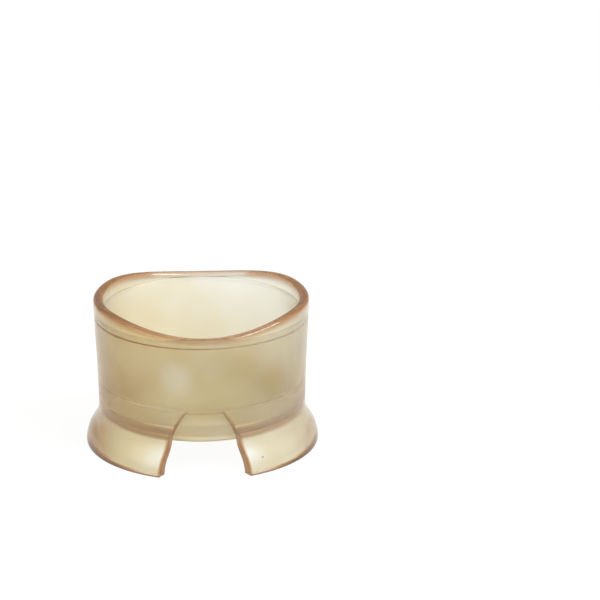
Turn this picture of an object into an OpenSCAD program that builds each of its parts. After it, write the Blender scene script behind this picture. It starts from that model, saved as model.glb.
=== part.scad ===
// Eye bath in soft translucent polymer. A round cup carries a saddle-shaped rim that seals round the eye.
// Its dished floor is pressed from below with the thumb, and a flared foot with a notch lets the thumb in.
// Millimetres, +Z up. The origin is the middle of the foot's underside, and the notch faces -Y.

/* [Cup] */
// Outer diameter of the cup where the rim ring sits on it
rim_d = 42; // [40:0.5:48]
// How far the barrel draws in on each side, from the rim seam down to the foot seam
barrel_taper = 0.5; // [0:0.1:1.5]
// Height of the cup's barrel between the foot seam and the rim seam
barrel_h = 12.4; // [8:0.2:20]
// Wall thickness at the mouth of the cup
mouth_wall = 1.8; // [1.5:0.1:2.6]
// Radius of the corner between the well's wall and the floor
well_corner = 1.2; // [0.6:0.1:1.8]
// Wall of the cup's lower end at its underside
spigot_wall = 1.1; // [0.9:0.1:1.8]
// How far the cup's lower end draws in down to its underside, inside the foot ring
spigot_taper = 1.55; // [0.8:0.05:2.2]
// Height of that tapered end
taper_h = 4; // [3:0.1:5]
// Rounding of the cup's lower edge, seen in the notch
base_round = 0.6; // [0.3:0.1:0.9]
// Thickness of the flange that carries the press floor
flange_t = 2; // [1.6:0.1:3]
// Width of the flange, from the well's wall to the press floor
flange_w = 3; // [2.2:0.1:5]
// How far the cup's wall reaches below the flange
base_lip = 1.2; // [0.8:0.1:2]

/* [Rim] */
// Height of the rim ring above its seam, at the front and the back
rim_h = 1.8; // [1.6:0.1:5]
// Further rise of the rim at the left and right ends
rim_rise = 2; // [0.5:0.1:5]
// Half angle of the dip in the rim at the front and at the back
rim_dip_a = 64; // [40:1:90]
// Height of the cup's tongue inside the rim ring
tongue_h = 0.9; // [0.6:0.1:1.2]
// Thickness of the cup's tongue
tongue_t = 0.8; // [0.6:0.1:1.1]
// Wall thickness at the top of the lip
lip_wall = 2; // [1.5:0.1:2.6]
// Rounding of the lip's edges
lip_round = 0.8; // [0.3:0.05:0.9]

/* [Press floor] */
// Width of the press floor's flat edge
pump_edge_w = 2; // [1.6:0.1:3]
// Thickness of the press floor's flat edge
pump_edge_t = 1; // [0.8:0.1:1.4]
// Width of the ledge under the press floor's edge
ledge_w = 1.5; // [1:0.1:2.5]
// How far the dished middle hangs below the edge
pump_sag = 2.2; // [1.4:0.1:2.6]
// Thickness of the dished middle
pump_t = 1; // [0.8:0.1:1.4]

/* [Foot] */
// Height of the foot ring, from the table to its seam on the cup
foot_h = 13.5; // [12:0.1:16]
// Thickness of the foot ring at its seam on the cup
foot_wall = 0.8; // [0.7:0.05:1.4]
// Height of the flare, from the table to the narrow neck
flare_h = 7.8; // [7:0.1:10]
// How far the hem stands out past the neck
flare_w = 2.6; // [1.5:0.1:5]
// How far the neck draws in below the seam
neck_in = 0.1; // [0:0.05:0.5]
// Thickness of the foot at its hem
hem_t = 2; // [1.4:0.1:2.6]
// Height of the cup's underside above the table
base_clear = 5.9; // [5:0.1:7]
// How far the cup's underside reaches below the foot's grip
grip_clear = 1.2; // [0.8:0.1:2]

/* [Notch] */
// Height of the strip of foot ring left above the notch
notch_bridge = 1; // [0.6:0.1:3]
// Width of the notch at its top
notch_top_w = 7.8; // [5:0.2:12]
// Width of the notch at the knee in its sides
notch_knee_w = 14; // [10:0.2:18]
// Height of that knee
notch_knee_h = 7.2; // [5:0.1:9]
// Width of the notch at the table
notch_foot_w = 17.6; // [13:0.2:24]
// Angle by which each side of the notch splays out
notch_splay = 34; // [20:1:45]

/* [Fits] */
// Gap between pieces that are bonded together
bond_gap = 0.05; // [0.03:0.01:0.1]
// Running gap round the press floor
pump_gap = 0.1; // [0.05:0.01:0.2]

/* [Hidden] */
$fn = 96;

// Colours of the polymer, paler where the piece is thin
rim_colour = [0.72, 0.55, 0.41];
cup_colour = [0.78, 0.70, 0.54];
floor_colour = [0.85, 0.79, 0.65];
foot_colour = [0.83, 0.77, 0.60];

// Steps round the rim ring, along each of its rounded edges and along each arc of the flare
rim_steps = 96;
lip_steps = 5;
flare_steps = 8;
// How far a cutter runs past the faces that it opens
cut_over = 1;

// Radii
rim_r = rim_d / 2;
waist_r = rim_r - barrel_taper;
mouth_r = rim_r - mouth_wall;
tongue_r = mouth_r + tongue_t;
sleeve_r = waist_r - foot_wall;
spigot_r = sleeve_r - bond_gap;
base_r = spigot_r - spigot_taper;
well_r = base_r - spigot_wall;
neck_r = waist_r - neck_in;
foot_r = neck_r + flare_w;
hem_r = foot_r - hem_t;
pump_r = well_r - flange_w;
ledge_r = pump_r - ledge_w;
dish_r = pump_r - pump_edge_w;

// Heights
taper_z = base_clear + taper_h;
grip_z = base_clear + grip_clear;
flange_z = base_clear + base_lip;
floor_z = flange_z + flange_t;
ledge_z = floor_z - pump_edge_t;
rim_seam_z = foot_h + barrel_h;
tongue_z = rim_seam_z + tongue_h;
lip_z = rim_seam_z + rim_h;
notch_z = foot_h - notch_bridge;

// The dish is part of a sphere through the edge and the lowest point of the floor
dish_ball = (pow(dish_r, 2) + pow(pump_sag, 2)) / (2 * pump_sag);
dish_centre_z = floor_z - pump_sag + dish_ball;

// Value on the straight line through two points of a draft
function along(z, z0, r0, z1, r1) = r0 + (r1 - r0) * (z - z0) / (z1 - z0);
// Outer radius of the barrel and the rim at a height
function outer_r(z) = along(z, foot_h, waist_r, rim_seam_z, rim_r);
// Inner radius of the foot ring at a height of its grip on the cup's tapered end
function grip_r(z) = bond_gap + along(z, base_clear, base_r, taper_z, spigot_r);
// Inner radius of the well at a height
function inner_r(z) = along(z, floor_z, well_r, rim_seam_z, mouth_r);
// Height of the lip at an angle round the axis, dipping at the front and the back
function lip_top(a) =
    let (from_dip = asin(abs(cos(a))))
    lip_z + rim_rise * pow(sin(90 * min(1, from_dip / rim_dip_a)), 2);
// Points of an arc round a centre, from one angle to another
function arc(c, r, from, to, steps) =
    [for (i = [0:steps]) let (a = from + (to - from) * i / steps) c + r * [cos(a), sin(a)]];
// Rounding that the lip's wall leaves room for
function lip_radius() = min(lip_round, rim_h - tongue_h - bond_gap, lip_wall / 2);
// Section of the rim ring at an angle, as radius and height
function rim_section(a) =
    let (top = lip_top(a), r = lip_radius(), out = outer_r(top), inn = out - lip_wall, under = tongue_z + bond_gap)
    concat([[tongue_r + bond_gap, rim_seam_z], [rim_r, rim_seam_z]],
           arc([out - r, top - r], r, 0, 90, lip_steps),
           arc([inn + r, top - r], r, 90, 180, lip_steps),
           [[inner_r(under), under], [tongue_r + bond_gap, under]]);
// S-shaped flare from a neck down to the table, upright at both ends, made of two equal arcs
function flare(top_r, top_z, low_r) =
    let (half = [(low_r - top_r) / 2, top_z / 2],
         r = (pow(half.x, 2) + pow(half.y, 2)) / (2 * half.x),
         bend = asin(half.y / r))
    concat(arc([top_r + r, top_z], r, 180, 180 + bend, flare_steps),
           arc([low_r - r, 0], r, bend, 0, flare_steps));
// A list from its end to its start
function backwards(list) = [for (i = [len(list) - 1:-1:0]) list[i]];

// What lies between a rounding and its corner, where a level face meets a side that leans out
module corner_2d(corner, lean, r) {
    reach = r / tan(45 + lean / 2);
    centre = corner + [-reach, r];
    difference() {
        polygon([corner, corner + reach * [sin(lean), cos(lean)], centre, corner - [reach, 0]]);
        translate(centre)
            circle(r);
    }
}

// Place of the notch's right side across its splay, from the notch's width at a radius
function side_x(w, r) = r * sin(asin(w / 2 / r) - notch_splay);

// Everything on the inner side of the right-hand flats of the thumb notch, from the axis to past the hem
module notch_side() {
    top_x = side_x(notch_top_w, waist_r);
    knee_x = side_x(notch_knee_w, neck_r);
    low_x = along(-cut_over, notch_knee_h, knee_x, 0, side_x(notch_foot_w, foot_r));
    rotate([0, 0, notch_splay])
        rotate([90, 0, 0])
            linear_extrude(foot_r + cut_over)
                polygon([[-foot_r, -cut_over], [low_x, -cut_over], [knee_x, notch_knee_h], [top_x, notch_z],
                         [-foot_r, notch_z]]);
}

// Wedge between the two sides of the thumb notch
module notch_cutter() {
    intersection() {
        notch_side();
        mirror([1, 0, 0])
            notch_side();
    }
}

// Contoured lip that overlaps the cup's tongue
module rim_ring() {
    sections = [for (i = [0:rim_steps - 1]) let (a = 360 * i / rim_steps)
        [for (p = rim_section(a)) [p[0] * cos(a), p[0] * sin(a), p[1]]]];
    count = len(sections[0]);
    points = [for (s = sections) each s];
    faces = [for (i = [0:rim_steps - 1], j = [0:count - 1])
        let (here = i * count, next = (i + 1) % rim_steps * count, k = (j + 1) % count)
        each [[here + j, here + k, next + k], [here + j, next + k, next + j]]];
    color(rim_colour)
        polyhedron(points, faces);
}

// Barrel with a tongue at the top, a tapered spigot for the foot, and a flange round the press floor
module cup_wall() {
    color(cup_colour)
        rotate_extrude() {
            difference() {
                polygon([[ledge_r, flange_z], [well_r, flange_z], [well_r, base_clear], [base_r, base_clear],
                         [spigot_r, taper_z], [spigot_r, foot_h], [waist_r, foot_h], [rim_r, rim_seam_z],
                         [tongue_r, rim_seam_z], [tongue_r, tongue_z], [inner_r(tongue_z), tongue_z],
                         [well_r, floor_z], [pump_r, floor_z], [pump_r, ledge_z], [ledge_r, ledge_z]]);
                corner_2d([base_r, base_clear], atan(spigot_taper / taper_h), base_round);
            }
            corner_2d([well_r, floor_z], atan((mouth_r - well_r) / (rim_seam_z - floor_z)), well_corner);
        }
}

// Dished floor with a flat edge that lies on the flange's ledge
module press_floor() {
    color(floor_colour)
        rotate_extrude()
            difference() {
                union() {
                    translate([0, ledge_z])
                        square([pump_r - pump_gap, pump_edge_t]);
                    intersection() {
                        square([ledge_r - pump_gap, floor_z]);
                        translate([0, dish_centre_z])
                            circle(dish_ball + pump_t);
                    }
                }
                translate([0, dish_centre_z])
                    circle(dish_ball);
            }
}

// Flared foot that sleeves over the spigot, notched at the front
module foot_ring() {
    color(foot_colour)
        difference() {
            rotate_extrude()
                polygon(concat([[sleeve_r, taper_z], [sleeve_r, foot_h], [waist_r, foot_h]],
                               flare(neck_r, flare_h, foot_r),
                               backwards(flare(grip_r(grip_z), grip_z, hem_r))));
            notch_cutter();
        }
}

rim_ring();
cup_wall();
press_floor();
foot_ring();
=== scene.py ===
"""Dresses the eye bath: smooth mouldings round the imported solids, soft polymer and a plain studio."""

import math

import bmesh
import bpy
from bpy.props import FloatProperty, FloatVectorProperty, IntProperty, PointerProperty
from mathutils import Matrix, Vector, noise


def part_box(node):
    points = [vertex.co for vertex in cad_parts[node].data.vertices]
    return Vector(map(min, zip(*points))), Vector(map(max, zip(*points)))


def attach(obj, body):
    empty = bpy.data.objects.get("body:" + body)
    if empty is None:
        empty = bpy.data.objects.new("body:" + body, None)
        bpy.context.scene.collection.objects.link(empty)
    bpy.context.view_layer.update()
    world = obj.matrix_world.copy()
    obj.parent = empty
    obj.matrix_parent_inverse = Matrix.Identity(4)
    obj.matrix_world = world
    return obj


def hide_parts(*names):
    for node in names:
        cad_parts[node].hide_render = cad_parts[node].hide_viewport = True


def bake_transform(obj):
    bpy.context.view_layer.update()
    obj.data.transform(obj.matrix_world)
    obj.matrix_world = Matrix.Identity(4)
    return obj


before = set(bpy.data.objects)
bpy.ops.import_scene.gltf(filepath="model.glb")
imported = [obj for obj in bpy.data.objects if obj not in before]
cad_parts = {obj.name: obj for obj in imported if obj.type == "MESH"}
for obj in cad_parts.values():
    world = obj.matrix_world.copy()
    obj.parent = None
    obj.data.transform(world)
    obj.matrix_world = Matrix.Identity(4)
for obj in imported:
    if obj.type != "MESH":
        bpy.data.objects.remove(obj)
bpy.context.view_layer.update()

bl_info = {
    "name": "Eye Bath",
    "version": (1, 0, 0),
    "blender": (4, 5, 0),
    "location": "View3D > Sidebar > Eye Bath",
    "description": "Builds a soft polymer eye bath round its packed solids",
    "category": "Object",
}

MM = 0.001
WHITE = (1, 1, 1)
# Place of a speck of dirt on a piece that has none, far outside it
NO_GRIT = (1, 1, 1)
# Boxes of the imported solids, which give the sizes that the dressed pieces keep
rim_low, rim_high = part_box("rim_ring")
cup_low, cup_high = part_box("cup_wall")
floor_low, floor_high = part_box("press_floor")
foot_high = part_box("foot_ring")[1]

# Segments round a turned piece and the floor card, and the longest step along a section
TURNS = 256
CARD_TURNS = 96
SECTION_STEP = 0.55 * MM
# Steps of a rounded corner, of the floor's dish and of a bevelled edge
ARC_STEPS = 6
DISH_STEPS = 18
BEVEL_STEPS = 3
# Distance at which points are merged
MERGE = 1e-7
# Slack when faces are told apart by their place
SLACK = 0.02 * MM
# Bounces that let light run along a wall, which is what browns the lip and the cut edges
WALL_BOUNCES = 32
# Face attribute that is 1 where a face lies against another piece
BONDED = "bonded"
# Point attribute that is 1 where light that ran along the wall comes out, and 2 on a dark line
LIGHT_RUN = "light_run"
# Point attributes that are 1 where a painted highlight runs along the foot's seam, and where the wall is
# frosted
SEAM_HIGHLIGHT = "seam_highlight"
FROSTED = "frosted"
# Point attribute that is 1 where the wall is paler than its pattern, and below 0 where it is browner; on the
# cup it holds a painted highlight and a painted shade
PALER = "paler"
# Widths of the browner patches, of the breaks in the painted highlight along the foot's seam, and of the
# surface's ripples
PATCH_W = 16 * MM
HIGHLIGHT_W = 5 * MM
RIPPLE_W = 4 * MM
# Values of a noise between which the patches and the painted seam highlight set in, and the patches' share
# either way
PATCH_SPAN = (0.3, 0.7)
HIGHLIGHT_SPAN = (0.48, 0.8)
PATCH_SHARE = 0.45
# Roughness of the satin surface from its smoothest to its roughest patch, and of the browned edges
SATIN = (0.19, 0.27)
EDGE_ROUGH = 0.14
# Share of light that the browned edges and the painted seam highlight let through
EDGE_CLEAR = 0.75
HIGHLIGHT_CLEAR = 0.3
# Depth of the ripples, and how strongly they tilt the surface
RIPPLE_DEPTH = 0.1 * MM
RIPPLE_TILT = 0.3
# Distances from a speck of dirt at which it is full and has faded
GRIT_FULL = 0.1 * MM
GRIT_FADED = 0.22 * MM
# Shares of the well's radius between which the browning of its corner sets in
CORNER_SPAN = (1 / 3, 0.8)
# Share of the radius at which the browning of the wall's ends sets in
END_START = 0.75
# Share of the width of the lip's paler part over which it fades
BACK_FADE = 0.15
# Share of the hem's browned edge that has its full colour, and how steeply that edge rises to its ends
HEM_FULL = 0.4
HEM_STEEP = 4
# Distances from the notch, in edge roundings, at which its browning is full and has faded
CUT_SPAN = (0.3, 1.2)


def linear(code):
    """Linear colour of an sRGB hex code."""
    parts = [int(code[i:i + 2], 16) / 255 for i in (1, 3, 5)]
    return [c / 12.92 if c <= 0.04045 else ((c + 0.055) / 1.055) ** 2.4 for c in parts]


def length(name, description, default):
    """A size in metres."""
    return FloatProperty(
        name=name, description=description, default=default, min=0, precision=5, unit="LENGTH"
    )


def position(name, description, default):
    """A place in metres."""
    return FloatVectorProperty(
        name=name, description=description, default=default, size=3, subtype="XYZ", precision=5, unit="LENGTH"
    )


def number(name, description, default):
    """A plain number that isn't negative."""
    return FloatProperty(name=name, description=description, default=default, min=0)


def angle(name, description, degrees):
    """An angle, given in degrees."""
    return FloatProperty(name=name, description=description, default=math.radians(degrees), subtype="ANGLE")


def colour(name, description, code):
    """A colour, given as an sRGB hex code."""
    return FloatVectorProperty(
        name=name, description=description, default=linear(code), subtype="COLOR", min=0, max=1
    )


class CupSizes(bpy.types.PropertyGroup):
    """Sizes of the cup between the rim and the foot."""

    seam_r: length("Seam radius", "Outer radius where the rim ring sits", cup_high.x)
    rim_seam_z: length("Rim seam", "Height of the seam under the rim ring", rim_low.z)
    tongue_z: length("Tongue top", "Height of the tongue inside the rim ring", cup_high.z)
    foot_seam_z: length("Foot seam", "Height of the seam above the foot ring", foot_high.z)
    floor_z: length("Floor", "Height of the floor inside the well", floor_high.z)
    base_z: length("Underside", "Height of the cup's underside", cup_low.z)
    taper: length("Taper", "How far the barrel draws in down to the foot seam", 0.5 * MM)
    mouth_wall: length("Mouth wall", "Wall at the rim seam", 1.8 * MM)
    tongue_wall: length("Tongue wall", "Thickness of the tongue", 0.8 * MM)
    spigot_wall: length("Spigot wall", "Wall of the cup's lower end at its underside", 1.1 * MM)
    spigot_taper: length("Spigot taper", "How far the lower end draws in down to its underside", 1.55 * MM)
    taper_h: length("Taper height", "Height of the tapered lower end", 4 * MM)
    taper_round: length("Taper rounding", "Softening where the taper starts", 2 * MM)
    flange_w: length("Flange width", "Flange between the wall and the press floor", 3 * MM)
    ledge_w: length("Ledge width", "Ledge under the press floor's edge", 1.5 * MM)
    flange_t: length("Flange thickness", "Thickness of the flange", 2 * MM)
    well_round: length("Well corner", "Rounding where the wall meets the floor", 1.2 * MM)
    base_round: length("Base rounding", "Rounding of the lower edge seen in the notch", 0.5 * MM)
    seam_round: length("Seam rounding", "Rounding of the edges at the rim's seam", 0.09 * MM)
    foot_seam_round: length("Foot seam rounding", "Rounding of the edges at the foot's seam", 0.04 * MM)
    foot_seam_gap: length("Foot seam gap", "Gap left at the foot's seam", 0.02 * MM)
    fine_round: length("Fine rounding", "Rounding of the small inner edges", 0.08 * MM)
    bond_gap: length("Bond gap", "Gap between bonded pieces", 0.05 * MM)
    well_frost: number("Well frost", "Share of the frost on the wall of the well", 0.7)
    base_brown: number("Base browning", "Share of browning round the cup's lower edge", 0.45)
    corner_brown: number("Corner browning", "Share of browning at the ends of the well's corner", 0.6)
    corner_w: length("Corner browning width", "How far that browning reaches from the corner", 2.5 * MM)
    left_brown: number("Left browning", "Share of browning at the wall's left end", 0.24)
    right_brown: number("Right browning", "Share of browning at the wall's right end", 0.1)
    groove_right: number("Groove browning", "Share of browning at the right end of the rim's seam", 0.25)
    # Painted highlight: a paler spot on the front of the barrel, where the lit dish shows through the wall
    painted_highlight: position("Pale spot", "Place of a paler spot on the barrel", (-5.5 * MM, -20 * MM, 19.4 * MM))
    painted_highlight_r: length("Pale spot radius", "Radius at which that spot has faded", 5 * MM)
    # Painted shade: a browner cloud on the barrel's front right, where the well's far corner shows darker
    # through the wall
    cloud: position(
        "Brown cloud", "Place of a browner cloud on the barrel", (13.9 * MM, -15.3 * MM, 17.3 * MM)
    )
    corner_shade_r: length("Brown cloud radius", "Radius at which that cloud has faded", 5 * MM)
    corner_shade_strength: number("Brown cloud strength", "How much browner than the pattern that cloud is", 0.6)
    wave: length("Waviness", "Depth of the soft waves in the moulded wall", 0.05 * MM)
    wave_l: length("Wave length", "Length of the soft waves in the moulded wall", 9 * MM)


class RimSizes(bpy.types.PropertyGroup):
    """Sizes of the saddle-shaped rim ring."""

    top_z: length("Lip top", "Height of the lip at its two ends", rim_high.z)
    rise: length("Rise", "How far the lip dips at the front and the back", 2 * MM)
    dip: angle("Dip half angle", "Half angle of each dip", 64)
    lip_wall: length("Lip wall", "Wall at the top of the lip", 2 * MM)
    lip_round: length("Lip rounding", "Rounding of the lip's two edges", 0.78 * MM)
    crown: length("Crown", "Depth of the browner crown of the lip", 2.3 * MM)
    front_brown: number("Front browning", "Share of the crown's browning at the front", 0.75)
    back_brown: number("Back browning", "Share of the crown's browning at the back", 0.9)
    back_in_brown: number("Inner back browning", "The same on the inner edge in the middle of the back", 0.5)
    back_w: length("Back width", "Half width of the part of the back where the inner edge is paler", 9.2 * MM)


class FloorSizes(bpy.types.PropertyGroup):
    """Sizes of the dished press floor."""

    radius: length("Radius", "Outer radius of the press floor", floor_high.x)
    low_z: length("Lowest point", "Height of the dish's underside", floor_low.z)
    edge_w: length("Edge width", "Width of the flat edge", 1.9 * MM)
    edge_t: length("Edge thickness", "Thickness of the flat edge", 1 * MM)
    sag: length("Sag", "How far the dish hangs below its edge", 2.2 * MM)
    gap: length("Running gap", "Gap round the press floor", 0.1 * MM)


class FootSizes(bpy.types.PropertyGroup):
    """Sizes of the flared foot ring and its thumb notch."""

    radius: length("Hem radius", "Outer radius of the hem", foot_high.x)
    wall: length("Wall", "Thickness at the seam on the cup", 0.8 * MM)
    grip_clear: length("Grip clearance", "How far the cup's underside reaches below the grip", 1.2 * MM)
    hem_t: length("Hem thickness", "Thickness at the table", 2 * MM)
    flare_z: length("Flare height", "Height of the flare up to the neck", 7.8 * MM)
    neck_in: length("Neck", "How far the neck draws in below the seam", 0.1 * MM)
    bridge: length("Bridge", "Strip of foot left above the notch", 1 * MM)
    notch_top: length("Notch top", "Width of the notch at its top", 7.8 * MM)
    notch_knee: length("Notch knee", "Width of the notch at the knee in its sides", 14 * MM)
    knee_z: length("Knee height", "Height of that knee", 7.2 * MM)
    notch_foot: length("Notch foot", "Width of the notch at the table", 17.6 * MM)
    splay: angle("Splay", "Angle by which each side of the notch splays out", 34)
    edge_round: length("Edge rounding", "Rounding of the notch's edges", 0.3 * MM)
    hem_round: length("Hem rounding", "Rounding of the hem's edges", 0.12 * MM)
    hem_edge: length("Hem edge", "Height of the browner edge of the hem", 0.5 * MM)
    hem_ends: number("Hem ends", "How much higher that edge gets at the left and right ends", 5)
    hem_line: length("Hem line", "Height of the thin dark line in that edge", 0.4 * MM)
    cut_top: number("Cut top", "Share of browning on the notch's cut faces, above its knee", 0.8)
    cut_dark: number("Cut darkness", "Share of that line's colour on the cut faces, below the knee", 0.25)
    bond_brown: number("Bond browning", "Share of browning at the bond with the cup", 0.4)
    bond_z: length("Bond line", "Height up to which the bond with the cup is browner", 8.2 * MM)
    bond_top_z: length("Bond line top", "Height at which that browning has faded", 10.8 * MM)
    neck_brown: number("Neck browning", "Share of browning on the outside of the neck, over that bond", 0.6)
    pale_w: length("Pale width", "How far the paler part of each leg reaches from the notch", 6 * MM)
    right_cream: number("Right cream", "How much browner than the pattern the foot's right end is", 0.6)
    # Painted highlight along the foot's seam: its share at the right end
    highlight_right: number("Wear at the right", "Share of the scuffs at the right end of the foot's seam", 0.3)
    neck_frost: number("Neck frost", "Share of the frost half way up the outside of the neck", 0.3)
    end_brown: number("End browning", "How much browner the foot's ends are than the wall's", 2.8)
    grit: position("Grit", "Place of a speck of dirt on the right leg", (11.19 * MM, -19.22 * MM, 3.06 * MM))


class PolymerLook(bpy.types.PropertyGroup):
    """Colours of the soft polymer."""

    tint: colour("Tint", "Colour that one wall lets through", "#FAFEFF")
    mottle: colour("Mottle", "The same in the browner patches", "#EBE2C2")
    edge: colour("Edge", "Colour where light runs along the wall and comes out at an edge", "#AD7442")
    line: colour("Line", "Colour of the thin dark line along the hem", "#432A18")
    # Colour of the painted highlight along the foot's seam
    highlight_tint: colour("Scuff", "Colour of scuffed polymer", "#F4EEDF")
    grit: colour("Grit", "Colour of a speck of dirt in the polymer", "#3B342C")
    depth: colour("Depth", "Colour that the polymer lets through as it gets thicker", "#E5CC4A")
    density: number("Density", "Absorption per metre of the cup, the rim and the floor", 145)
    foot_density: number("Foot density", "Absorption per metre of the foot", 120)
    index: number("Refractive index", "Refractive index of soft PVC", 1.45)
    sheen: number("Sheen", "Strength of the surface's reflections, where 0.5 is that of bare polymer", 0.25)
    haze: number("Haze", "Share of light that the surface scatters", 0.07)
    frost: number("Frost", "Roughness of the moulded inner faces", 0.55)
    frost_haze: number("Frost haze", "Share of light that those faces scatter", 0.22)
    pattern: number("Pattern", "Which of the possible patterns of browner patches is used", 0.6)
    # Painted shade: the colour browns across the piece, away from its paler side at the right, turned a
    # little towards the back
    side_shade_w: length("Drift width", "Width over which the colour drifts from one side to the other", 44 * MM)
    side_shade_a: angle("Drift direction", "Direction of the paler side, from the right towards the back", 25)


class StageSizes(bpy.types.PropertyGroup):
    """Camera and studio."""

    distance: length("Distance", "From the camera to the middle of the eye bath", 513 * MM)
    elevation: angle("Elevation", "Height of the camera above the table", 20.3)
    azimuth: angle("Azimuth", "Turn of the camera round the eye bath", -1)
    roll: angle("Roll", "Tilt of the camera about its view of the eye bath", -0.6)
    target_z: length("Target height", "Height of the point that is placed in the picture", 17.76 * MM)
    frame_px: IntProperty(name="Frame", description="Pixels along a side of the picture", default=600)
    focal_px: FloatProperty(name="Focal length", description="Focal length in pixels", default=2600)
    target_px: FloatVectorProperty(
        name="Target", description="Pixel where the target point lies", size=2, default=(201.8, 351.6)
    )
    floor_r: length("Floor radius", "Radius of the pale floor", 0.9)
    pale: colour("Floor colour", "Colour of the floor", "#FAF9F7")
    glow: number("Glow", "Share of the floor that is seen as a white backdrop", 0.94)
    ambient: number("Even light", "Strength of the even light from all round", 0.55)
    key: position("Key lamp", "Place of the key lamp", (0.4, -0.2, 0.56))
    key_w: length("Key width", "Width of the key lamp", 0.5)
    key_h: length("Key height", "Height of the key lamp", 0.2)
    key_power: number("Key power", "Power of the key lamp in watts", 7)
    fill: position("Fill lamp", "Place of the fill lamp", (-0.5, -0.35, 0.4))
    fill_w: length("Fill width", "Width of the fill lamp", 0.6)
    fill_h: length("Fill height", "Height of the fill lamp", 0.6)
    fill_power: number("Fill power", "Power of the fill lamp in watts", 3)


class EyeBathSettings(bpy.types.PropertyGroup):
    """All that a user can change."""

    cup: PointerProperty(type=CupSizes)
    rim: PointerProperty(type=RimSizes)
    floor: PointerProperty(type=FloorSizes)
    foot: PointerProperty(type=FootSizes)
    look: PointerProperty(type=PolymerLook)
    stage: PointerProperty(type=StageSizes)


def along(z, z0, r0, z1, r1):
    """Value on the straight line through two points."""
    return r0 + (r1 - r0) * (z - z0) / (z1 - z0)


class CupShape:
    """Radii worked out from the cup's sizes."""

    def __init__(self, bath):
        cup = bath.cup
        self.cup = cup
        self.waist_r = cup.seam_r - cup.taper
        self.sleeve_r = self.waist_r - bath.foot.wall
        self.spigot_r = self.sleeve_r - cup.bond_gap
        self.base_r = self.spigot_r - cup.spigot_taper
        self.well_r = self.base_r - cup.spigot_wall
        self.taper_z = cup.base_z + cup.taper_h
        self.grip_z = cup.base_z + bath.foot.grip_clear
        self.mouth_r = cup.seam_r - cup.mouth_wall
        self.tongue_r = self.mouth_r + cup.tongue_wall
        self.pump_r = self.well_r - cup.flange_w
        self.ledge_r = self.pump_r - cup.ledge_w

    def outer(self, z):
        """Outer radius of the barrel and the rim at a height."""
        return along(z, self.cup.foot_seam_z, self.waist_r, self.cup.rim_seam_z, self.cup.seam_r)

    def spigot(self, z):
        """Outer radius of the lower end at a height."""
        return along(min(z, self.taper_z), self.cup.base_z, self.base_r, self.taper_z, self.spigot_r)

    def inner(self, z):
        """Inner radius of the well and the rim at a height."""
        return along(z, self.cup.floor_z, self.well_r, self.cup.rim_seam_z, self.mouth_r)


def rounded(corners):
    """Closed outline through corners of radius, height and rounding, with an arc at each corner."""
    points = []
    count = len(corners)
    for i, (r, z, rounding) in enumerate(corners):
        here = Vector((r, z))
        before = (Vector(corners[i - 1][:2]) - here).normalized()
        after = (Vector(corners[(i + 1) % count][:2]) - here).normalized()
        half = before.angle(after) / 2
        reach = rounding / math.tan(half)
        centre = here + (before + after).normalized() * rounding / math.sin(half)
        start = here + before * reach - centre
        turn = start.angle_signed(here + after * reach - centre)
        for step in range(ARC_STEPS + 1):
            spoke = Matrix.Rotation(-turn * step / ARC_STEPS, 2) @ start
            points.append(tuple(centre + spoke))
    return points


def spaced(outline, closed):
    """The outline with points added where two are far apart."""
    result = []
    ends = outline[1:] + (outline[:1] if closed else [])
    for start, end in zip(outline, ends):
        steps = max(1, math.ceil(math.dist(start, end) / SECTION_STEP))
        for i in range(steps):
            result.append(tuple(a + (b - a) * i / steps for a, b in zip(start, end)))
    return result if closed else result + [outline[-1]]


def revolved(outline, closed):
    """Mesh of an outline turned round the Z axis."""
    mesh = bmesh.new()
    rings = []
    for step in range(TURNS):
        a = 2 * math.pi * step / TURNS
        rings.append([mesh.verts.new((r * math.sin(a), -r * math.cos(a), z)) for r, z in outline])
    count = len(outline)
    for ring, after in zip(rings, rings[1:] + rings[:1]):
        for i in range(count if closed else count - 1):
            j = (i + 1) % count
            mesh.faces.new((ring[i], ring[j], after[j], after[i]))
    bmesh.ops.remove_doubles(mesh, verts=mesh.verts, dist=MERGE)
    return mesh


def piece(name, mesh, material):
    """Object at the origin made from a mesh under construction, smooth and facing outwards."""
    bmesh.ops.recalc_face_normals(mesh, faces=mesh.faces)
    for face in mesh.faces:
        face.smooth = True
    data = bpy.data.meshes.new(name)
    mesh.to_mesh(data)
    mesh.free()
    data.materials.append(material)
    made = bpy.data.objects.new(name, data)
    bpy.context.scene.collection.objects.link(made)
    return made


def settle(made):
    """Turns a piece's modifiers into its plain mesh."""
    depsgraph = bpy.context.evaluated_depsgraph_get()
    data = bpy.data.meshes.new_from_object(made.evaluated_get(depsgraph))
    old = made.data
    made.modifiers.clear()
    made.data = data
    data.name = made.name
    bpy.data.meshes.remove(old)
    return made


def add(tree, kind, sockets=None, **settings):
    """Adds a node with its settings; a socket's value is a constant or the output that it is linked to."""
    node = tree.nodes.new(kind)
    for key, value in settings.items():
        setattr(node, key, value)
    for key, value in (sockets or {}).items():
        if isinstance(value, bpy.types.NodeSocket):
            tree.links.new(value, node.inputs[key])
        else:
            node.inputs[key].default_value = value
    return node


def blank(name):
    """An empty node material with its output."""
    material = bpy.data.materials.new(name)
    material.use_nodes = True
    tree = material.node_tree
    tree.nodes.clear()
    return material, tree, tree.nodes.new("ShaderNodeOutputMaterial")


def per_size(size):
    """Texture scale that gives features of a size in metres."""
    return 1 / size


def rgba(values):
    """Colour with full alpha."""
    return (*values, 1)


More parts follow.
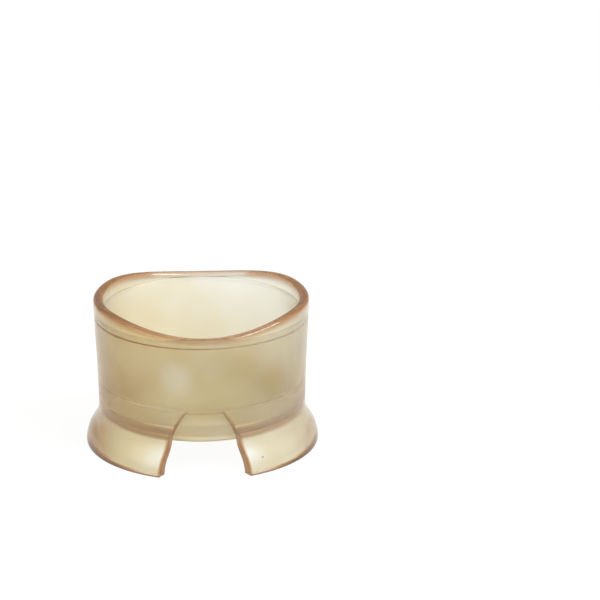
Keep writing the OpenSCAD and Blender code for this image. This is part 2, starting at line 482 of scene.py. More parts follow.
def soft_pvc(name, look, density, grit=NO_GRIT):
    """Soft plasticised PVC from a satin mould: hazy, cream, browner at its edges, unseen where bonded."""
    material, tree, out = blank(name)
    coord = add(tree, "ShaderNodeTexCoord").outputs["Object"]
    bonded, run, seam_highlight, frosted, paler = [
        add(tree, "ShaderNodeAttribute", attribute_name=label).outputs["Fac"]
        for label in (BONDED, LIGHT_RUN, SEAM_HIGHLIGHT, FROSTED, PALER)
    ]
    cloud = add(tree, "ShaderNodeTexNoise", {
        "Vector": coord, "W": look.pattern, "Scale": per_size(PATCH_W), "Detail": 2,
    }, noise_dimensions="4D").outputs["Fac"]
    patch = add(tree, "ShaderNodeMapRange", {
        "Value": cloud, "From Min": PATCH_SPAN[0], "From Max": PATCH_SPAN[1],
        "To Min": -PATCH_SHARE, "To Max": PATCH_SHARE,
    }).outputs["Result"]
    # Painted shade: a browner share that grows across the piece from the right and the back towards the left
    # and the front
    lit_way = (math.cos(look.side_shade_a), math.sin(look.side_shade_a), 0)
    side = add(tree, "ShaderNodeVectorMath", {
        0: coord, 1: lit_way,
    }, operation="DOT_PRODUCT").outputs["Value"]
    side_shade = add(tree, "ShaderNodeMapRange", {
        "Value": side, "From Min": look.side_shade_w / 2, "From Max": -look.side_shade_w / 2,
    }).outputs["Result"]
    patches_and_side_shade = add(tree, "ShaderNodeMath", {0: patch, 1: side_shade}, operation="ADD").outputs[0]
    # The mottle's share: the random patches and the painted side shade, less the paler value, which on the
    # cup holds a painted highlight and a painted shade
    browner = add(tree, "ShaderNodeMath", {
        0: patches_and_side_shade, 1: paler,
    }, operation="SUBTRACT", use_clamp=True).outputs[0]
    beyond = add(tree, "ShaderNodeMath", {0: run, 1: 1.0}, operation="SUBTRACT", use_clamp=True).outputs[0]
    # Painted highlight along the foot's seam, broken up by a noise
    speckle = add(tree, "ShaderNodeTexNoise", {
        "Vector": coord, "Scale": per_size(HIGHLIGHT_W), "Detail": 3,
    }).outputs["Fac"]
    broken = add(tree, "ShaderNodeMapRange", {
        "Value": speckle, "From Min": HIGHLIGHT_SPAN[0], "From Max": HIGHLIGHT_SPAN[1],
    }).outputs["Result"]
    highlighted = add(tree, "ShaderNodeMath", {0: seam_highlight, 1: broken}, operation="MULTIPLY").outputs[0]
    from_grit = add(tree, "ShaderNodeVectorMath", {0: coord, 1: grit}, operation="DISTANCE").outputs["Value"]
    is_grit = add(tree, "ShaderNodeMapRange", {
        "Value": from_grit, "From Min": GRIT_FADED, "From Max": GRIT_FULL,
    }).outputs["Result"]
    # Each layer covers those before it by its share; a Mix node mixes numbers at 2 and 3, colours at 6 and 7
    tint = rgba(look.tint)
    for share, shade in (
        (browner, look.mottle), (bonded, WHITE), (run, look.edge),
        (beyond, look.line), (highlighted, look.highlight_tint), (is_grit, look.grit),
    ):
        tint = add(tree, "ShaderNodeMix", {0: share, 6: tint, 7: rgba(shade)}, data_type="RGBA").outputs[2]
    rough = add(tree, "ShaderNodeMapRange", {
        "Value": cloud, "To Min": SATIN[0], "To Max": SATIN[1],
    }).outputs["Result"]
    for share, roughness in ((frosted, look.frost), (run, EDGE_ROUGH), (bonded, 0.0)):
        rough = add(tree, "ShaderNodeMix", {0: share, 2: rough, 3: roughness}).outputs[0]
    clear = 1 - look.haze
    for share, clarity in (
        (frosted, 1 - look.frost_haze), (run, EDGE_CLEAR), (highlighted, HIGHLIGHT_CLEAR), (bonded, 1.0),
    ):
        clear = add(tree, "ShaderNodeMix", {0: share, 2: clear, 3: clarity}).outputs[0]
    index = add(tree, "ShaderNodeMix", {0: bonded, 2: look.index, 3: 1.0}).outputs[0]
    ripple = add(tree, "ShaderNodeTexNoise", {
        "Vector": coord, "Scale": per_size(RIPPLE_W), "Detail": 1,
    }).outputs["Fac"]
    bump = add(tree, "ShaderNodeBump", {
        "Strength": RIPPLE_TILT, "Distance": RIPPLE_DEPTH, "Height": ripple,
    }).outputs["Normal"]
    shader = add(tree, "ShaderNodeBsdfPrincipled", {
        "Base Color": tint, "Roughness": rough, "IOR": index, "Transmission Weight": clear,
        "Normal": bump, "Specular IOR Level": look.sheen,
    })
    inside = add(tree, "ShaderNodeVolumeAbsorption", {"Color": rgba(look.depth), "Density": density})
    tree.links.new(shader.outputs["BSDF"], out.inputs["Surface"])
    tree.links.new(inside.outputs["Volume"], out.inputs["Volume"])
    return material


def smooth(start, end, value):
    """Smooth step from 0 at the start to 1 at the end."""
    share = min(1, max(0, (value - start) / (end - start)))
    return share * share * (3 - 2 * share)


def paint(made, label, share):
    """Gives a piece a value at each point, worked out from where the point is."""
    values = made.data.attributes.new(label, "FLOAT", "POINT").data
    for vert, value in zip(made.data.vertices, values):
        value.value = share(vert.co)


def mark_bonded(mesh, is_bonded):
    """Marks the faces that lie against another piece, given a test of a face's middle."""
    layer = mesh.faces.layers.float.new(BONDED)
    for face in mesh.faces:
        face[layer] = 1 if is_bonded(face.calc_center_median()) else 0


def within(place, low_r, high_r, low_z, high_z):
    """Whether a place lies in a band of radii and heights."""
    return low_r < place.xy.length < high_r and low_z < place.z < high_z


def on_spigot(place, shape):
    """Whether a place lies on the cup's lower end, inside the foot's grip."""
    is_high = shape.grip_z < place.z < shape.cup.foot_seam_z + shape.cup.bond_gap + SLACK
    return is_high and abs(place.xy.length - shape.spigot(place.z)) < shape.cup.bond_gap


def cup_outline(shape):
    """Section of the cup: spigot, barrel, tongue, well and flange."""
    cup = shape.cup
    ledge_z = cup.floor_z - bpy.context.scene.eye_bath.floor.edge_t - cup.bond_gap
    flange_z = cup.floor_z - cup.flange_t
    low_seam_z = cup.foot_seam_z + cup.foot_seam_gap
    high_seam_z = cup.rim_seam_z - cup.bond_gap
    return rounded([
        (shape.ledge_r, flange_z, cup.fine_round),
        (shape.well_r, flange_z, cup.base_round),
        (shape.well_r, cup.base_z, cup.base_round),
        (shape.base_r, cup.base_z, cup.base_round),
        (shape.spigot_r, shape.taper_z, cup.taper_round),
        (shape.spigot_r, low_seam_z, cup.fine_round),
        (shape.waist_r, low_seam_z, cup.foot_seam_round),
        (cup.seam_r, high_seam_z, cup.seam_round),
        (shape.tongue_r, high_seam_z, cup.fine_round),
        (shape.tongue_r, cup.tongue_z, cup.fine_round),
        (shape.inner(cup.tongue_z), cup.tongue_z, cup.fine_round),
        (shape.well_r, cup.floor_z, cup.well_round),
        (shape.pump_r, cup.floor_z, cup.fine_round),
        (shape.pump_r, ledge_z, cup.fine_round),
        (shape.ledge_r, ledge_z, cup.fine_round),
    ])


def notch_planes(foot, start, end):
    """A point and the normal of the notch's right and left flats between two of its stops."""
    across = Vector((math.cos(foot.splay), math.sin(foot.splay), 0))
    outward = Vector((math.sin(foot.splay), -math.cos(foot.splay), 0))
    point = across * start[0] + Vector((0, 0, start[1]))
    slope = across * (end[0] - start[0]) + Vector((0, 0, end[1] - start[1]))
    normal = slope.cross(outward).normalized()
    return [[Vector((v.x * hand, v.y, v.z)) for v in (point, normal)] for hand in (1, -1)]


def cut_spigot(mesh, shape, foot):
    """Cuts the spigot's faces along the notch's edges, and gives a test of what lies in the notch."""
    planes = notch_planes(foot, foot.top, foot.knee)
    planes.append([Vector((0, 0, foot.notch_z)), Vector((0, 0, 1))])
    for point, normal in planes:
        front = [
            face for face in mesh.faces
            if on_spigot(face.calc_center_median(), shape) and face.verts[0].co.y < 0
        ]
        edges = {edge for face in front for edge in face.edges}
        verts = {vert for face in front for vert in face.verts}
        bmesh.ops.bisect_plane(
            mesh, geom=front + list(edges) + list(verts), dist=MERGE, plane_co=point, plane_no=normal,
        )
    axis_side = [(Vector((0, -foot.sleeve_r, foot.base_z)) - point).dot(normal) for point, normal in planes]

    def in_notch(place):
        sides = [(place - point).dot(normal) for point, normal in planes]
        return place.y < 0 and all(a * b > 0 for a, b in zip(sides, axis_side))

    return in_notch


def groove_share(place, cup):
    """How dark the rim's seam is at a place: darkest at the front and the left, faint at the back."""
    front = smooth(cup.seam_r / 4, -cup.seam_r / 4, place.y)
    left = along(place.x, -cup.seam_r, 1, cup.seam_r, cup.groove_right)
    return front * left


def end_share(place, cup):
    """How far light that runs along the wall browns its left and right ends, which are seen edge on."""
    brown = cup.left_brown if place.x < 0 else cup.right_brown
    return brown * smooth(cup.seam_r * END_START, cup.seam_r, abs(place.x))


def waves(mesh, shape):
    """Soft unevenness of the barrel and the well, fading out towards the seams."""
    cup = shape.cup
    mesh.normal_update()
    middle = (cup.foot_seam_z + cup.rim_seam_z) / 2
    reach = (cup.rim_seam_z - cup.foot_seam_z) / 2
    for vert in mesh.verts:
        share = max(0, 1 - abs(vert.co.z - middle) / reach)
        depth = cup.wave * noise.noise(vert.co / cup.wave_l) * min(1, 2 * share)
        vert.co += vert.normal * depth


class EYEBATH_OT_cup_wall(bpy.types.Operator):
    """Makes the barrel of the cup, with its tongue, spigot and flange"""

    bl_idname = "eye_bath.cup_wall"
    bl_label = "Cup Wall"

    def execute(self, context):
        bath = context.scene.eye_bath
        shape = CupShape(bath)
        cup = bath.cup
        mesh = revolved(spaced(cup_outline(shape), True), True)
        bmesh.ops.recalc_face_normals(mesh, faces=mesh.faces)
        waves(mesh, shape)
        in_notch = cut_spigot(mesh, shape, FootShape(bath))
        low_shoulder = cup.foot_seam_z + cup.foot_seam_gap + SLACK
        high_shoulder = cup.rim_seam_z - cup.bond_gap - SLACK
        flange_z = cup.floor_z - cup.flange_t
        ledge_top_z = cup.floor_z - cup.fine_round
        tongue_in_r = shape.inner(cup.tongue_z) + cup.fine_round

        def is_bonded(place):
            in_grip = on_spigot(place, shape) and not in_notch(place)
            on_foot = within(place, shape.spigot_r, shape.waist_r, low_shoulder - 2 * SLACK, low_shoulder)
            in_rim = within(place, tongue_in_r, cup.seam_r - cup.seam_round, high_shoulder, cup.rim_seam_z)
            in_lap = within(place, shape.tongue_r - SLACK, cup.seam_r, cup.rim_seam_z, cup.tongue_z)
            on_tongue = within(place, tongue_in_r, cup.seam_r, cup.tongue_z - SLACK, cup.tongue_z + SLACK)
            on_ledge = within(
                place, shape.ledge_r - SLACK, shape.pump_r + SLACK, flange_z + cup.fine_round, ledge_top_z
            )
            return in_grip or on_foot or in_rim or in_lap or on_tongue or on_ledge

        mark_bonded(mesh, is_bonded)
        made = piece("cup_moulding", mesh, soft_pvc("soft_pvc_cup", bath.look, bath.look.density))
        groove_z = cup.rim_seam_z - cup.bond_gap - cup.seam_round
        # Depth within which a point counts as on the barrel's wavy face
        skin = 4 * cup.wave

        def on_barrel(place):
            return place.z > cup.foot_seam_z and place.xy.length > shape.outer(place.z) - skin

        def light_run(place):
            if place.z > groove_z and place.xy.length > shape.tongue_r + SLACK:
                return groove_share(place, cup)
            from_corner = math.hypot(place.xy.length - shape.well_r, place.z - cup.floor_z)
            if place.z > cup.floor_z - SLACK and from_corner < cup.corner_w:
                reach = 1 - smooth(cup.corner_w / 4, cup.corner_w, from_corner)
                ends = smooth(*(shape.well_r * share for share in CORNER_SPAN), abs(place.x))
                back = smooth(-shape.well_r / 2, 0, place.y)
                return cup.corner_brown * reach * ends * back
            if on_barrel(place):
                return end_share(place, cup)
            is_edge = place.z < shape.grip_z and place.xy.length > shape.base_r - cup.base_round
            return cup.base_brown if is_edge and not in_notch(place) else 0

        paint(made, LIGHT_RUN, light_run)

        def frosted(place):
            if on_barrel(place):
                return 0
            return cup.well_frost if place.z > cup.floor_z + 2 * cup.well_round else 1

        paint(made, FROSTED, frosted)

        def paler(place):
            # Painted highlight on the front of the barrel
            painted_highlight = 1 - smooth(0, cup.painted_highlight_r, (place - Vector(cup.painted_highlight)).length)
            # Painted shade where the well's far corner shows through the front wall
            cloud = 1 - smooth(0, cup.corner_shade_r, (place - Vector(cup.cloud)).length)
            return painted_highlight - cup.corner_shade_strength * cloud

        paint(made, PALER, paler)
        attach(made, "cup")
        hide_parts("cup_wall")
        return {"FINISHED"}


def rim_outline(shape, rim):
    """Section of the rim ring where it is highest."""
    cup = shape.cup
    lap_r = shape.tongue_r + cup.bond_gap
    under = cup.tongue_z + cup.bond_gap
    return rounded([
        (lap_r, cup.rim_seam_z, cup.fine_round),
        (cup.seam_r, cup.rim_seam_z, cup.seam_round),
        (shape.outer(rim.top_z), rim.top_z, rim.lip_round),
        (shape.outer(rim.top_z) - rim.lip_wall, rim.top_z, rim.lip_round),
        (shape.inner(under), under, cup.fine_round),
        (lap_r, under, cup.fine_round),
    ])


def saddle_tree():
    """Node tree that lowers the lip at the front and the back and keeps its two sides on their drafts."""
    tree = bpy.data.node_groups.new("saddle_rim", "GeometryNodeTree")
    tree.interface.new_socket("Geometry", in_out="INPUT", socket_type="NodeSocketGeometry")
    for label in ("Rise", "Dip half angle"):
        tree.interface.new_socket(label, in_out="INPUT", socket_type="NodeSocketFloat")
    tree.interface.new_socket("Material", in_out="INPUT", socket_type="NodeSocketMaterial")
    tree.interface.new_socket("Geometry", in_out="OUTPUT", socket_type="NodeSocketGeometry")
    given = add(tree, "NodeGroupInput").outputs

    def calc(operation, first, second=0.0):
        return add(tree, "ShaderNodeMath", {0: first, 1: second}, operation=operation).outputs[0]

    def stored(label):
        node = add(tree, "GeometryNodeInputNamedAttribute", {"Name": label}, data_type="FLOAT")
        return node.outputs["Attribute"]

    place = add(tree, "ShaderNodeSeparateXYZ", {0: add(tree, "GeometryNodeInputPosition").outputs[0]}).outputs
    flat = add(tree, "ShaderNodeCombineXYZ", {"X": place["X"], "Y": place["Y"]}).outputs[0]
    outward = add(tree, "ShaderNodeVectorMath", {0: flat}, operation="NORMALIZE").outputs[0]
    side = add(tree, "ShaderNodeSeparateXYZ", {0: outward}).outputs["X"]
    from_dip = calc("ARCSINE", calc("ABSOLUTE", side))
    share = calc("MINIMUM", calc("DIVIDE", from_dip, given["Dip half angle"]), 1.0)
    height = calc("POWER", calc("SINE", calc("MULTIPLY", share, math.pi / 2)), 2.0)
    drop = calc("MULTIPLY", calc("MULTIPLY", calc("SUBTRACT", 1.0, height), given["Rise"]), stored("follow"))
    inward = calc("MULTIPLY", drop, calc("MULTIPLY", stored("draft"), -1.0))
    sideways = add(tree, "ShaderNodeVectorMath", {0: outward, "Scale": inward}, operation="SCALE").outputs[0]
    down = add(tree, "ShaderNodeCombineXYZ", {"Z": calc("MULTIPLY", drop, -1.0)}).outputs[0]
    offset = add(tree, "ShaderNodeVectorMath", {0: sideways, 1: down}, operation="ADD").outputs[0]
    moved = add(tree, "GeometryNodeSetPosition", {"Geometry": given["Geometry"], "Offset": offset})
    real = add(tree, "GeometryNodeRealizeInstances", {"Geometry": moved.outputs[0]})
    dressed = add(tree, "GeometryNodeSetMaterial", {
        "Geometry": real.outputs[0], "Material": given["Material"],
    })
    add(tree, "NodeGroupOutput", {"Geometry": dressed.outputs[0]})
    return tree


def run_tree(made, tree, values):
    """Runs a node tree on a piece with its inputs set, and keeps the result as a plain mesh."""
    modifier = made.modifiers.new(tree.name, "NODES")
    modifier.node_group = tree
    for item in tree.interface.items_tree:
        if item.in_out == "INPUT" and item.name in values:
            modifier[item.identifier] = values[item.name]
    return settle(made)


class EYEBATH_OT_rim_ring(bpy.types.Operator):
    """Makes the saddle-shaped lip on top of the cup"""

    bl_idname = "eye_bath.rim_ring"
    bl_label = "Rim Ring"

    def execute(self, context):
        bath = context.scene.eye_bath
        shape = CupShape(bath)
        cup = bath.cup
        rim = bath.rim
        material = soft_pvc("soft_pvc_rim", bath.look, bath.look.density)
        mesh = revolved(spaced(rim_outline(shape, rim), True), True)
        follow = mesh.verts.layers.float.new("follow")
        draft = mesh.verts.layers.float.new("draft")
        shoulder = rim.top_z - rim.lip_round
        under = cup.tongue_z + cup.bond_gap
        middle_r = shape.outer(shoulder) - rim.lip_wall / 2
        tilt = cup.taper / (cup.rim_seam_z - cup.foot_seam_z)
        for vert in mesh.verts:
            is_outside = vert.co.xy.length > middle_r
            start = cup.rim_seam_z if is_outside else under
            vert[follow] = min(1, max(0, (vert.co.z - start) / (shoulder - start)))
            vert[draft] = tilt
        mark_bonded(mesh, lambda place: within(
            place, shape.inner(under) + cup.fine_round, cup.seam_r - cup.seam_round,
            cup.rim_seam_z - SLACK, under + SLACK))
        made = piece("rim_moulding", mesh, material)

        def lip_brown(place):
            middle_brown = rim.front_brown if place.y < 0 else rim.back_brown
            brown = along(abs(place.x), 0, middle_brown, cup.seam_r, 1)
            if place.y < 0:
                return brown
            outward = smooth(middle_r - rim.lip_wall / 2, middle_r, place.xy.length)
            beyond = smooth(rim.back_w * (1 - BACK_FADE), rim.back_w * (1 + BACK_FADE), abs(place.x))
            return along(max(outward, beyond), 0, rim.back_in_brown, 1, brown)

        def light_run(place):
            is_outside = place.xy.length > middle_r
            if is_outside and place.z < cup.rim_seam_z + cup.seam_round:
                return groove_share(place, cup)
            crown = 1 - smooth(0, rim.crown, rim.top_z - place.z)
            lip = crown * lip_brown(place)
            return max(lip, end_share(place, cup)) if is_outside else lip

        paint(made, LIGHT_RUN, light_run)
        run_tree(made, saddle_tree(), {"Rise": rim.rise, "Dip half angle": rim.dip, "Material": material})
        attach(made, "cup")
        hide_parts("rim_ring")
        return {"FINISHED"}


class EYEBATH_OT_press_floor(bpy.types.Operator):
    """Makes the dished floor that bends when it is pressed"""

    bl_idname = "eye_bath.press_floor"
    bl_label = "Press Floor"

    def execute(self, context):
        bath = context.scene.eye_bath
        shape = CupShape(bath)
        floor = bath.floor
        top_z = bath.cup.floor_z
        dish_r = floor.radius - floor.edge_w
        ball = (dish_r ** 2 + floor.sag ** 2) / (2 * floor.sag)
        centre_z = top_z - floor.sag + ball
        under_ball = centre_z - floor.low_z
        neck_r = shape.ledge_r - floor.gap
        top_a = math.asin(dish_r / ball)
        low_a = math.asin(neck_r / under_ball)
        top = [(ball * math.sin(a), centre_z - ball * math.cos(a))
               for a in [top_a * i / DISH_STEPS for i in range(DISH_STEPS + 1)]]
        low = [(under_ball * math.sin(a), centre_z - under_ball * math.cos(a))
               for a in [low_a * i / DISH_STEPS for i in range(DISH_STEPS, -1, -1)]]
        edge = [(floor.radius, top_z), (floor.radius, top_z - floor.edge_t), (neck_r, top_z - floor.edge_t)]
        mesh = revolved(spaced(top + edge + low, False), False)
        low_neck_z = centre_z - under_ball * math.cos(low_a)
        mark_bonded(mesh, lambda place: within(
            place, neck_r - SLACK, floor.radius + SLACK, low_neck_z + SLACK, top_z - SLACK))
        made = piece("floor_moulding", mesh, soft_pvc("soft_pvc_floor", bath.look, bath.look.density))
        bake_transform(made)
        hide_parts("press_floor")
        return {"FINISHED"}


class FootShape:
    """Surfaces of the foot ring and the cut that its notch makes."""

    def __init__(self, bath):
        shape = CupShape(bath)
        foot = bath.foot
        self.foot = foot
        self.seam_z = bath.cup.foot_seam_z
        self.base_z = bath.cup.base_z
        self.waist_r = shape.waist_r
        self.sleeve_r = shape.sleeve_r
        self.neck_r = shape.waist_r - foot.neck_in
        self.hem_r = foot.radius - foot.hem_t
        self.notch_z = self.seam_z - foot.bridge
        self.taper_z = shape.taper_z
        self.grip_z = shape.grip_z
        self.grip_r = shape.spigot(shape.grip_z) + bath.cup.bond_gap
        self.splay = foot.splay
        self.top = (self.side_x(foot.notch_top, self.waist_r), self.notch_z)
        self.knee = (self.side_x(foot.notch_knee, self.neck_r), foot.knee_z)
        self.low = (self.side_x(foot.notch_foot, foot.radius), 0)

    def side_x(self, width, r):
        """Place of the notch's right side across its splay, from the notch's width at a radius."""
        return r * math.sin(math.asin(width / 2 / r) - self.splay)

    def flare(self, z, top_r, top_z, low_r):
        """Radius at a height on an S-shaped flare of two equal arcs."""
        half_r = (low_r - top_r) / 2
        bend = (half_r ** 2 + (top_z / 2) ** 2) / (2 * half_r)
        if z > top_z / 2:
            return top_r + bend - math.sqrt(bend ** 2 - (top_z - z) ** 2)
        return low_r - bend + math.sqrt(bend ** 2 - z ** 2)

    def outer(self, z):
        """Outer radius at a height."""
        if z >= self.foot.flare_z:
            return along(z, self.foot.flare_z, self.neck_r, self.seam_z, self.waist_r)
        return self.flare(z, self.neck_r, self.foot.flare_z, self.foot.radius)

    def inner(self, z):
        """Inner radius at a height."""
        if z >= self.grip_z:
            return along(min(z, self.taper_z), self.grip_z, self.grip_r, self.taper_z, self.sleeve_r)
        return self.flare(z, self.grip_r, self.grip_z, self.hem_r)

    def cut_angle(self, r, z):
        """Angle from the front at which the notch's side meets a radius at a height."""
        start, end = (self.top, self.knee) if z > self.knee[1] else (self.knee, self.low)
        x = along(min(z, self.notch_z), start[1], start[0], end[1], end[0])
        return self.splay + math.asin(x / r)


# Steps of the foot ring round its main run, across the notch and through its wall
FOOT_RUN = 224
FOOT_SPAN = 20
FOOT_WALL = 4
# Steps down the bridge, the straight grip, the tapered grip and the legs
FOOT_BRIDGE = 2
FOOT_DOWN = (FOOT_BRIDGE, 4, 5, 14)
# Edges that turn by more than this are rounded
SHARP = math.radians(40)


def levels(stops):
    """Heights of the foot ring's rows, from its top down through the given stops."""
    heights = []
    for start, end, steps in zip(stops, stops[1:], FOOT_DOWN):
        heights += [along(i, 0, start, steps, end) for i in range(steps)]
    return heights + [stops[-1]]


def foot_mesh(shape):
    """Mesh of the foot ring on a grid that follows the notch's edges."""
    outer_z = levels((shape.seam_z, shape.notch_z, shape.taper_z, shape.knee[1], 0))
    inner_z = levels((shape.seam_z, shape.notch_z, shape.taper_z, shape.grip_z, 0))
    lowest = len(outer_z) - 1
    columns = FOOT_RUN + FOOT_SPAN
    mesh = bmesh.new()
    made = {}

    def vert(column, level, layer):
        key = (column % columns, level, layer)
        if key not in made:
            z = along(layer, 0, outer_z[level], FOOT_WALL, inner_z[level])
            r = along(layer, 0, shape.outer(outer_z[level]), FOOT_WALL, shape.inner(inner_z[level]))
            cut = shape.cut_angle(r, z)
            if key[0] <= FOOT_RUN:
                a = cut + (2 * math.pi - 2 * cut) * key[0] / FOOT_RUN
            else:
                a = 2 * cut * (key[0] - FOOT_RUN) / FOOT_SPAN - cut
            made[key] = mesh.verts.new((r * math.sin(a), -r * math.cos(a), z))
        return made[key]

    def patch(corners):
        mesh.faces.new([vert(*corner) for corner in corners])

    for c in range(columns):
        bottom = lowest if c < FOOT_RUN else FOOT_BRIDGE
        for k in range(bottom):
            for layer in (0, FOOT_WALL):
                patch([(c, k, layer), (c + 1, k, layer), (c + 1, k + 1, layer), (c, k + 1, layer)])
        for layer in range(FOOT_WALL):
            for k in (0, bottom):
                patch([(c, k, layer), (c + 1, k, layer), (c + 1, k, layer + 1), (c, k, layer + 1)])
    for c in (0, FOOT_RUN):
        for k in range(FOOT_BRIDGE, lowest):
            for layer in range(FOOT_WALL):
                patch([(c, k, layer), (c, k + 1, layer), (c, k + 1, layer + 1), (c, k, layer + 1)])
    return mesh


class EYEBATH_OT_foot_ring(bpy.types.Operator):
    """Makes the flared foot with its thumb notch"""

    bl_idname = "eye_bath.foot_ring"
    bl_label = "Foot Ring"

    def execute(self, context):
        bath = context.scene.eye_bath
        shape = FootShape(bath)
        foot = bath.foot
        mesh = foot_mesh(shape)
        bmesh.ops.recalc_face_normals(mesh, faces=mesh.faces)
        on_top = (shape.sleeve_r, shape.waist_r, shape.seam_z - SLACK, shape.seam_z + SLACK)

        def in_grip(place):
            return place.z > shape.grip_z - SLACK and abs(place.xy.length - shape.inner(place.z)) < SLACK

        mark_bonded(mesh, lambda place: in_grip(place) or within(place, *on_top))
        weights = mesh.edges.layers.float.new("bevel_weight_edge")
        for edge in mesh.edges:
            if edge.calc_face_angle() > SHARP and not all(in_grip(vert.co) for vert in edge.verts):
                heights = [vert.co.z for vert in edge.verts]
                rounding = foot.edge_round
                if min(heights) > shape.seam_z - SLACK:
                    rounding = bath.cup.foot_seam_round
                elif max(heights) < SLACK:
                    rounding = foot.hem_round
                edge[weights] = rounding / foot.edge_round
        material = soft_pvc("soft_pvc_foot", bath.look, bath.look.foot_density, foot.grit)
        made = piece("foot_moulding", mesh, material)
        bevel = made.modifiers.new("edges", "BEVEL")
        bevel.width = foot.edge_round
        bevel.segments = BEVEL_STEPS
        bevel.limit_method = "WEIGHT"
        settle(made)
        upper = notch_planes(shape, shape.top, shape.knee)
        lower = notch_planes(shape, shape.knee, shape.low)

        def from_notch(place):
            if place.y > 0:
                return foot.radius
            if place.z < shape.notch_z:
                sides = upper if place.z > foot.knee_z else lower
                return min(abs((place - point).dot(normal)) for point, normal in sides)
            beyond = max(0, abs(place.x) - foot.notch_top / 2)
            return math.hypot(place.z - shape.notch_z, beyond)

        def light_run(place):
            rise = 1 + foot.hem_ends * (place.x / foot.radius) ** HEM_STEEP
            hem = 1 - smooth(foot.hem_edge * rise * HEM_FULL, foot.hem_edge * rise, place.z)
            line = 1 - smooth(foot.hem_line * rise * HEM_FULL, foot.hem_line * rise, place.z)
            at_cut = 1 - smooth(*(foot.edge_round * share for share in CUT_SPAN), from_notch(place))
            up_cut = smooth(foot.knee_z / 2, foot.knee_z, place.z)
            cut = at_cut * along(up_cut, 0, 1 + foot.cut_dark, 1, foot.cut_top)
            band = 1 - smooth(foot.bond_z, foot.bond_top_z, place.z)
            bond = foot.bond_brown * band if in_grip(place) else 0
            is_outside = place.xy.length > shape.inner(place.z) + foot.edge_round
            if not is_outside:
                return max(cut, bond)
            ends = foot.end_brown * end_share(place, bath.cup)
            above_grip = smooth(shape.grip_z - foot.edge_round, shape.grip_z + foot.edge_round, place.z)
            neck = foot.neck_brown * band * above_grip
            return max(hem + line, cut, ends, neck)

        # Painted highlight: a pale broken line along the foot's seam, where its rounded top edge catches the
        # light, fainter to the right
        def seam_highlight(place):
            is_outside = place.xy.length > shape.sleeve_r + foot.wall / 2
            is_seam = is_outside and place.z > shape.seam_z - bath.cup.seam_round
            return along(place.x, -shape.waist_r, 1, shape.waist_r, foot.highlight_right) if is_seam else 0

        neck_z = (foot.flare_z + shape.seam_z) / 2

        def frosted(place):
            is_inside = abs(place.xy.length - shape.inner(place.z)) < foot.edge_round
            from_middle = along(place.z, neck_z, 0, shape.seam_z, 1)
            return 1 if is_inside else foot.neck_frost * max(0, 1 - from_middle ** 2)

        def paler(place):
            half = foot.knee_z / 2
            up_leg = smooth(0, half, place.z) * (1 - smooth(half, foot.knee_z, place.z))
            right_end = smooth(foot.radius / 2, foot.radius, place.x)
            return up_leg * (1 - smooth(0, foot.pale_w, from_notch(place))) - foot.right_cream * right_end

        paint(made, LIGHT_RUN, light_run)
        paint(made, SEAM_HIGHLIGHT, seam_highlight)
        paint(made, PALER, paler)
        paint(made, FROSTED, frosted)
        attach(made, "cup")
        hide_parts("foot_ring")
        return {"FINISHED"}


def sees_backdrop(tree):
    """1 for rays that see the white backdrop, from the camera, through the polymer or off its surface."""
    path = add(tree, "ShaderNodeLightPath").outputs
    bent = add(tree, "ShaderNodeMath", {
        0: path["Is Glossy Ray"], 1: path["Is Transmission Ray"],
    }, operation="ADD").outputs[0]
    seen = add(tree, "ShaderNodeMath", {0: bent, 1: path["Is Camera Ray"]}, operation="ADD", use_clamp=True)
    return seen.outputs[0]


def white_card(stage):
    """Pale floor that the camera and the polymer see as a bright backdrop, with the shadow kept."""
    material, tree, out = blank("white_card")
    part = add(tree, "ShaderNodeMath", {0: sees_backdrop(tree), 1: stage.glow}, operation="MULTIPLY")
    paper = add(tree, "ShaderNodeBsdfDiffuse", {"Color": rgba(stage.pale)})
    glow = add(tree, "ShaderNodeEmission", {"Color": rgba(WHITE), "Strength": 1})
    mixed = add(tree, "ShaderNodeMixShader", {0: part.outputs[0], 1: paper.outputs[0], 2: glow.outputs[0]})
    tree.links.new(mixed.outputs[0], out.inputs["Surface"])
    return material


def studio_world(ambient):
    """Soft even light from all round."""
    world = bpy.data.worlds.new("studio")
    world.use_nodes = True
    tree = world.node_tree
    tree.nodes.clear()
    light = add(tree, "ShaderNodeBackground", {"Color": rgba(WHITE), "Strength": ambient})
    add(tree, "ShaderNodeOutputWorld", {"Surface": light.outputs[0]})
    bpy.context.scene.world = world


def softbox(name, place, target, width, height, power):
    """Soft area lamp that faces a point."""
    data = bpy.data.lights.new(name, "AREA")
    data.shape = "RECTANGLE"
    data.size = width
    data.size_y = height
    data.energy = power
    lamp = bpy.data.objects.new(name, data)
    lamp.location = place
    lamp.rotation_euler = (target - place).to_track_quat("-Z", "Y").to_euler()
    bpy.context.scene.collection.objects.link(lamp)


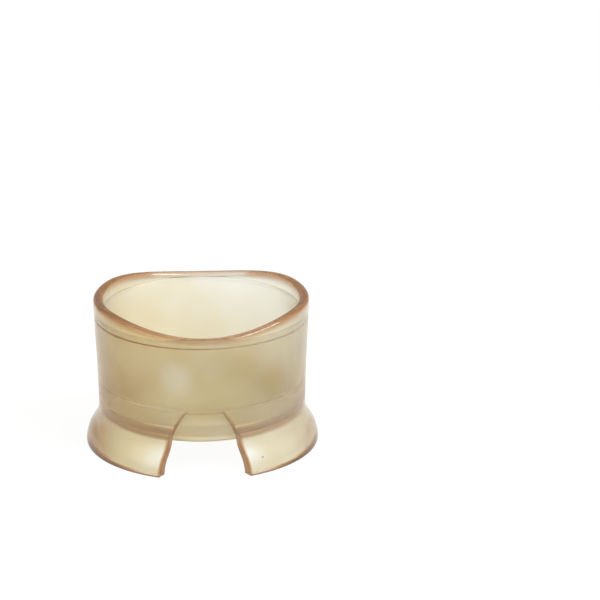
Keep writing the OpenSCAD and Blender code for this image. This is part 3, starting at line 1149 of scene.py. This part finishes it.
class EYEBATH_OT_stage(bpy.types.Operator):
    """Makes the floor, the lamps and the camera"""

    bl_idname = "eye_bath.stage"
    bl_label = "Stage"

    def execute(self, context):
        stage = context.scene.eye_bath.stage
        scene = context.scene
        target = Vector((0, 0, stage.target_z))
        mesh = bmesh.new()
        bmesh.ops.create_circle(mesh, cap_ends=True, segments=CARD_TURNS, radius=stage.floor_r)
        floor = piece("floor_card", mesh, white_card(stage))
        studio_world(stage.ambient)
        softbox("key_softbox", Vector(stage.key), target, stage.key_w, stage.key_h, stage.key_power)
        softbox("fill_softbox", Vector(stage.fill), target, stage.fill_w, stage.fill_h, stage.fill_power)
        data = bpy.data.cameras.new("camera")
        data.lens = data.sensor_width * stage.focal_px / stage.frame_px
        camera = bpy.data.objects.new("camera", data)
        back = Vector((
            math.sin(stage.azimuth) * math.cos(stage.elevation),
            -math.cos(stage.azimuth) * math.cos(stage.elevation),
            math.sin(stage.elevation),
        ))
        half = stage.frame_px / 2
        ray = Vector((stage.target_px[0] - half, half - stage.target_px[1], -stage.focal_px))
        aim = (-back).to_track_quat("-Z", "Y") @ ray.rotation_difference(Vector((0, 0, -1)))
        turned = Matrix.Rotation(stage.roll, 3, back) @ aim.to_matrix()
        camera.matrix_world = Matrix.Translation(target + back * stage.distance) @ turned.to_4x4()
        scene.collection.objects.link(camera)
        scene.camera = camera
        scene.view_settings.view_transform = "Standard"
        scene.cycles.max_bounces = WALL_BOUNCES
        scene.cycles.glossy_bounces = WALL_BOUNCES
        scene.cycles.transmission_bounces = WALL_BOUNCES
        return {"FINISHED"}


class EYEBATH_PT_panel(bpy.types.Panel):
    """Lists the pieces and their sizes"""

    bl_idname = "EYEBATH_PT_panel"
    bl_label = "Eye Bath"
    bl_space_type = "VIEW_3D"
    bl_region_type = "UI"
    bl_category = "Eye Bath"

    def draw(self, context):
        bath = context.scene.eye_bath
        for step in STEPS:
            self.layout.operator(step.bl_idname)
        for label in EyeBathSettings.__annotations__:
            box = self.layout.box()
            box.label(text=label.capitalize())
            group = getattr(bath, label)
            for size in type(group).__annotations__:
                box.prop(group, size)


STEPS = (
    EYEBATH_OT_cup_wall,
    EYEBATH_OT_rim_ring,
    EYEBATH_OT_press_floor,
    EYEBATH_OT_foot_ring,
    EYEBATH_OT_stage,
)
GROUPS = (CupSizes, RimSizes, FloorSizes, FootSizes, PolymerLook, StageSizes, EyeBathSettings)


def register():
    """Registers the sizes, the steps and the panel."""
    for kind in (*GROUPS, *STEPS, EYEBATH_PT_panel):
        bpy.utils.register_class(kind)
    bpy.types.Scene.eye_bath = PointerProperty(type=EyeBathSettings)


def unregister():
    """Takes them away again."""
    del bpy.types.Scene.eye_bath
    for kind in reversed((*GROUPS, *STEPS, EYEBATH_PT_panel)):
        bpy.utils.unregister_class(kind)


def main():
    register()
    bpy.ops.eye_bath.cup_wall()
    bpy.ops.eye_bath.rim_ring()
    bpy.ops.eye_bath.press_floor()
    bpy.ops.eye_bath.foot_ring()
    bpy.ops.eye_bath.stage()


if __name__ == "__main__":
    main()
